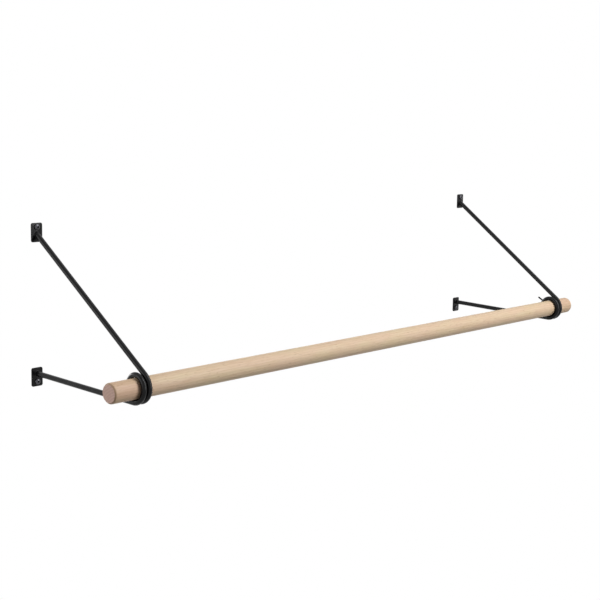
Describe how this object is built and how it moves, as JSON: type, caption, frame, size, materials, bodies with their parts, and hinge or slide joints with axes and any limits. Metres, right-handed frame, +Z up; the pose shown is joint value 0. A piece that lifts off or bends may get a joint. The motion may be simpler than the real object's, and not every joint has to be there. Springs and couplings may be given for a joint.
{
  "type": "wall-mounted clothes rail",
  "caption": "Round wooden hanging rail that slides in looped steel-rod wall brackets, each with an upper and a lower leg welded to small screwed wall plates.",
  "frame": {"origin": "middle of the wall plates, on the wall's face", "axes": "+X along the rail to the right as seen from the room, +Y into the wall, +Z up"},
  "size_m": [1.2, 0.2931, 0.249],
  "materials": {
    "wood": "clear matt lacquer on pale straight-grained wood",
    "black_coat": "fine satin black powder coat",
    "screw_steel": "dark coated steel",
    "pin_steel": "dark steel"
  },
  "bodies": {
    "brackets": {"left_bracket_rod": "black_coat", "right_bracket_rod": "black_coat", "left_upper_plate": "black_coat", "left_lower_plate": "black_coat", "right_upper_plate": "black_coat", "right_lower_plate": "black_coat", "left_upper_weld": "black_coat", "left_lower_weld": "black_coat", "right_upper_weld": "black_coat", "right_lower_weld": "black_coat", "left_upper_screw": "screw_steel", "left_lower_screw": "screw_steel", "right_upper_screw": "screw_steel", "right_lower_screw": "screw_steel"},
    "rail": {"hanging_rail": "wood", "rail_stop_pin": "pin_steel"}
  },
  "joints": [
    {"name": "rail_slide", "type": "slide", "parent": "brackets", "child": "rail", "axis": [1, 0, 0], "range_m": [0, 0.035]}
  ]
}
